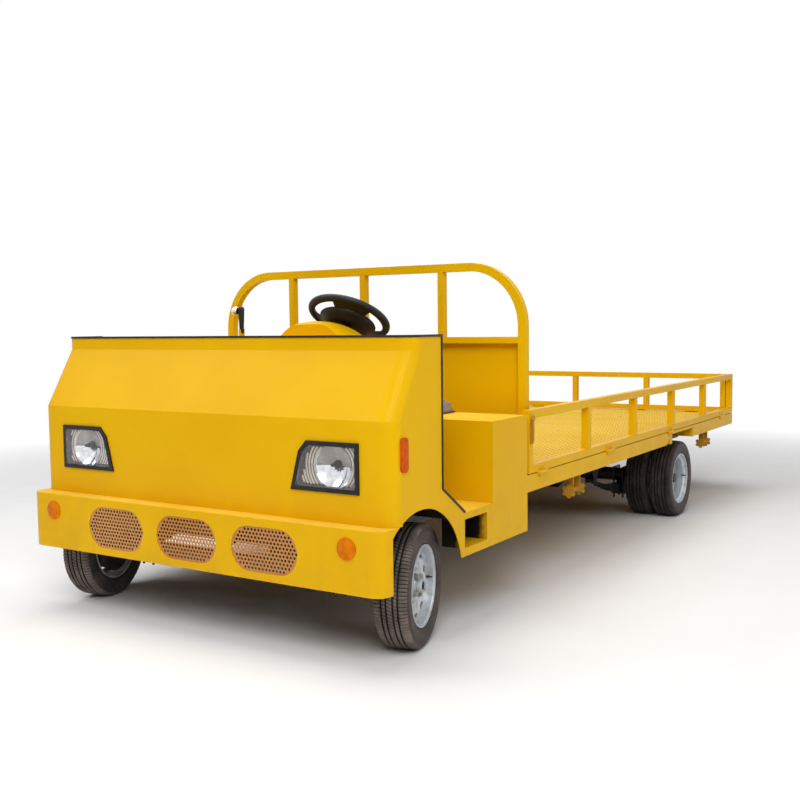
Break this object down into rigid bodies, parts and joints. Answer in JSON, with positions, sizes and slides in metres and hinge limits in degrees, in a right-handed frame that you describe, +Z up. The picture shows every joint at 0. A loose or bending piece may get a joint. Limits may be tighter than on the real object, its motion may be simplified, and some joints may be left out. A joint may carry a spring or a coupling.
{
  "type": "flatbed platform truck",
  "caption": "Open-cab electric flatbed truck with a folded sheet-metal nose, bench seat, tube headboard, drop-side deck and twin rear wheels.",
  "frame": {"origin": "on the ground below the middle of the vehicle's box", "axes": "+X to the vehicle's left, +Y back along the vehicle, +Z up"},
  "size_m": [2.02, 5.01, 1.608],
  "materials": {
    "body_yellow": "gloss yellow enamel on folded sheet and tube",
    "deck_yellow": "yellow enamel on chequer plate, scuffed",
    "frame_black": "satin black chassis paint",
    "trim_rubber": "black rubber edge trim",
    "black_plastic": "moulded black plastic",
    "grille_sheet": "perforated sheet, tan yellow",
    "seat_vinyl": "grey-brown vinyl",
    "lamp_chrome": "bright lamp reflector",
    "lamp_glass": "clear lamp cover",
    "amber_lens": "amber lens",
    "red_lens": "red lens",
    "winch_ochre": "worn ochre paint",
    "tyre_rubber": "matt tyre rubber",
    "rim_silver": "silver wheel paint"
  },
  "bodies": {
    "chassis": {"bumper": "body_yellow", "nose_panel": "body_yellow", "side_panel_left": "body_yellow", "side_panel_right": "body_yellow", "seat_box": "body_yellow", "dash_panel": "body_yellow", "steering_cowl": "body_yellow", "headboard": "body_yellow", "backrest_panel": "body_yellow", "bed_frame": "body_yellow", "deck_plate": "deck_yellow", "chassis_frame": "frame_black", "front_axle_beam": "frame_black", "rear_axle": "frame_black", "leaf_springs": "frame_black", "drive_motor": "frame_black", "battery_box": "frame_black", "steering_gear": "frame_black", "cab_floor": "frame_black", "tow_clevis": "frame_black", "edge_trim": "trim_rubber", "brake_lever": "black_plastic", "pedals": "black_plastic", "headlamp_bezels": "black_plastic", "grille_mesh": "grille_sheet", "seat_cushion": "seat_vinyl", "headlamp_reflectors": "lamp_chrome", "headlamp_lenses": "lamp_glass", "front_indicators": "amber_lens", "side_markers": "amber_lens", "tail_lamps": "red_lens", "lashing_winches": "winch_ochre"},
    "knuckle_left": {"knuckle_left": "frame_black"},
    "knuckle_right": {"knuckle_right": "frame_black"},
    "front_wheel_left": {"front_tyre_left": "tyre_rubber", "front_rim_left": "rim_silver"},
    "front_wheel_right": {"front_tyre_right": "tyre_rubber", "front_rim_right": "rim_silver"},
    "rear_wheels_left": {"rear_tyres_left": "tyre_rubber", "rear_rims_left": "rim_silver"},
    "rear_wheels_right": {"rear_tyres_right": "tyre_rubber", "rear_rims_right": "rim_silver"},
    "steering_wheel": {"steering_wheel": "black_plastic"},
    "tie_rod": {"tie_rod": "frame_black"},
    "drop_arm": {"drop_arm": "frame_black"},
    "gate_left": {"gate_left": "body_yellow"},
    "gate_right": {"gate_right": "body_yellow"},
    "tail_gate": {"tail_gate": "body_yellow"}
  },
  "joints": [
    {"name": "left_steer", "type": "hinge", "parent": "chassis", "child": "knuckle_left", "pos_m": [0.745, -2.138, 0.254], "axis": [0, 0, 1], "range_deg": [-42, 14]},
    {"name": "right_steer", "type": "hinge", "parent": "chassis", "child": "knuckle_right", "pos_m": [-0.745, -2.138, 0.254], "axis": [0, 0, 1], "range_deg": [-42, 14]},
    {"name": "front_left_spin", "type": "hinge", "parent": "knuckle_left", "child": "front_wheel_left", "pos_m": [0.86386, -2.10836, 0.254], "axis": [0.9703, 0.2419, 0], "continuous": true},
    {"name": "front_right_spin", "type": "hinge", "parent": "knuckle_right", "child": "front_wheel_right", "pos_m": [-0.86386, -2.16764, 0.254], "axis": [0.9703, 0.2419, 0], "continuous": true},
    {"name": "rear_left_spin", "type": "hinge", "parent": "chassis", "child": "rear_wheels_left", "pos_m": [0.8275, 1.187, 0.254], "axis": [1, 0, 0], "continuous": true},
    {"name": "rear_right_spin", "type": "hinge", "parent": "chassis", "child": "rear_wheels_right", "pos_m": [-0.8275, 1.187, 0.254], "axis": [1, 0, 0], "continuous": true},
    {"name": "steering_turn", "type": "hinge", "parent": "chassis", "child": "steering_wheel", "pos_m": [0.377, -1.813, 1.345], "axis": [0, 0.5, 0.866], "range_deg": [-651, 217]},
    {"name": "tie_rod_swing", "type": "hinge", "parent": "knuckle_left", "child": "tie_rod", "pos_m": [0.70871, -1.99246, 0.234], "axis": [0, 0, 1], "range_deg": [-14, 42]},
    {"name": "drop_arm_swing", "type": "hinge", "parent": "chassis", "child": "drop_arm", "pos_m": [0.44, -2.138, 0.316], "axis": [0, 0, 1], "range_deg": [-42, 14]},
    {"name": "gate_left_drop", "type": "hinge", "parent": "chassis", "child": "gate_left", "pos_m": [1.002, 0.6285, 0.5975], "axis": [0, 1, 0], "range_deg": [0, 180]},
    {"name": "gate_right_drop", "type": "hinge", "parent": "chassis", "child": "gate_right", "pos_m": [-1.002, 0.6285, 0.5975], "axis": [0, -1, 0], "range_deg": [0, 180]},
    {"name": "tail_gate_drop", "type": "hinge", "parent": "chassis", "child": "tail_gate", "pos_m": [0, 2.497, 0.5975], "axis": [-1, 0, 0], "range_deg": [0, 180]}
  ],
  "couplings": [
    {"joint": "right_steer", "follows": "left_steer", "ratio": 1},
    {"joint": "steering_turn", "follows": "left_steer", "ratio": 15.5},
    {"joint": "tie_rod_swing", "follows": "left_steer", "ratio": -1},
    {"joint": "drop_arm_swing", "follows": "left_steer", "ratio": 1}
  ]
}
